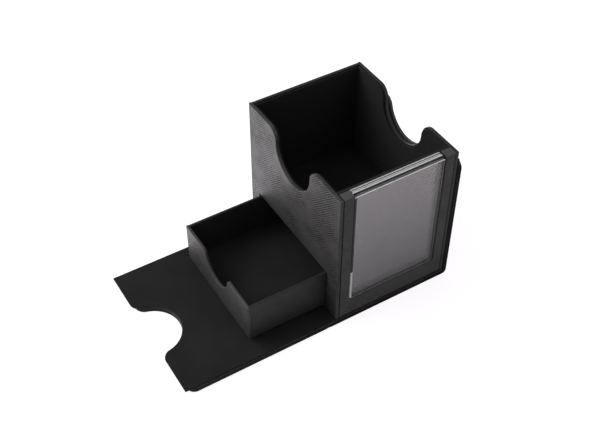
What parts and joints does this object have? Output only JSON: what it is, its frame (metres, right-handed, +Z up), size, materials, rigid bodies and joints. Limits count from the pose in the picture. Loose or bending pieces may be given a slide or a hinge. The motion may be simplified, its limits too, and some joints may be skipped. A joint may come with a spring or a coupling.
{
  "type": "playing card box with drawer",
  "caption": "Open upright box for a deck of cards, with a clear card window, a drawer under the deck, and a magnetic wrap cover with one panel laid flat and the other standing.",
  "frame": {"origin": "middle of the tower's footprint, at the underside of the cover, where the object rests", "axes": "+X from the flap to the standing leg across the tower, +Y from the card window to the back wall, +Z up"},
  "size_m": [0.2096, 0.1156, 0.1162],
  "materials": {
    "leatherette": "satin, fine embossed lines",
    "board": "matt black covered board",
    "microfibre": "matt black microfibre",
    "clear_sheet": "clear gloss",
    "magnet": "plated"
  },
  "bodies": {
    "cover": {"cover_base_board": "leatherette", "cover_base_lining": "microfibre", "flap_hinge_skin": "leatherette", "flap_hinge_lining": "microfibre", "leg_hinge_skin": "leatherette"},
    "tower": {"tower_left_wall": "leatherette", "tower_right_wall": "leatherette", "tower_back_wall": "leatherette", "tower_front_wall": "board", "tower_base_board": "board", "compartment_floor": "board", "bay_front_guide": "board", "bay_back_guide": "board", "window_frame": "leatherette", "holder_back_sheet": "clear_sheet", "holder_back_rim": "clear_sheet", "holder_middle_sheet": "clear_sheet", "holder_rim": "clear_sheet", "holder_front_sheet": "clear_sheet", "lining_left": "microfibre", "lining_right": "microfibre", "lining_front": "microfibre", "lining_back": "microfibre", "lining_floor": "microfibre", "tower_left_magnets": "magnet", "tower_right_magnets": "magnet"},
    "drawer": {"drawer_end_wall": "leatherette", "drawer_rear_wall": "leatherette", "drawer_front_side": "leatherette", "drawer_back_side": "leatherette", "drawer_floor": "board", "drawer_floor_lining": "microfibre", "drawer_wall_lining": "microfibre"},
    "left_flap": {"flap_board": "leatherette", "flap_lining": "microfibre", "flap_magnets": "magnet"},
    "right_leg": {"leg_board": "leatherette", "leg_lining": "microfibre", "leg_magnets": "magnet"}
  },
  "joints": [
    {"name": "tower_lift", "type": "slide", "parent": "cover", "child": "tower", "axis": [0, 0, 1], "range_m": [0, 0.12]},
    {"name": "drawer_slide", "type": "slide", "parent": "tower", "child": "drawer", "axis": [1, 0, 0], "range_m": [-0.02, 0.06]},
    {"name": "leg_hinge", "type": "hinge", "parent": "cover", "child": "right_leg", "pos_m": [0.0474, 0, 0.0017], "axis": [0, 1, 0], "range_deg": [0, 90], "deforming": ["leg_hinge_skin"]},
    {"name": "flap_hinge", "type": "hinge", "parent": "cover", "child": "left_flap", "pos_m": [-0.0513, 0, 0.0026], "axis": [0, 1, 0], "range_deg": [-90, 0], "deforming": ["flap_hinge_skin", "flap_hinge_lining"]}
  ]
}
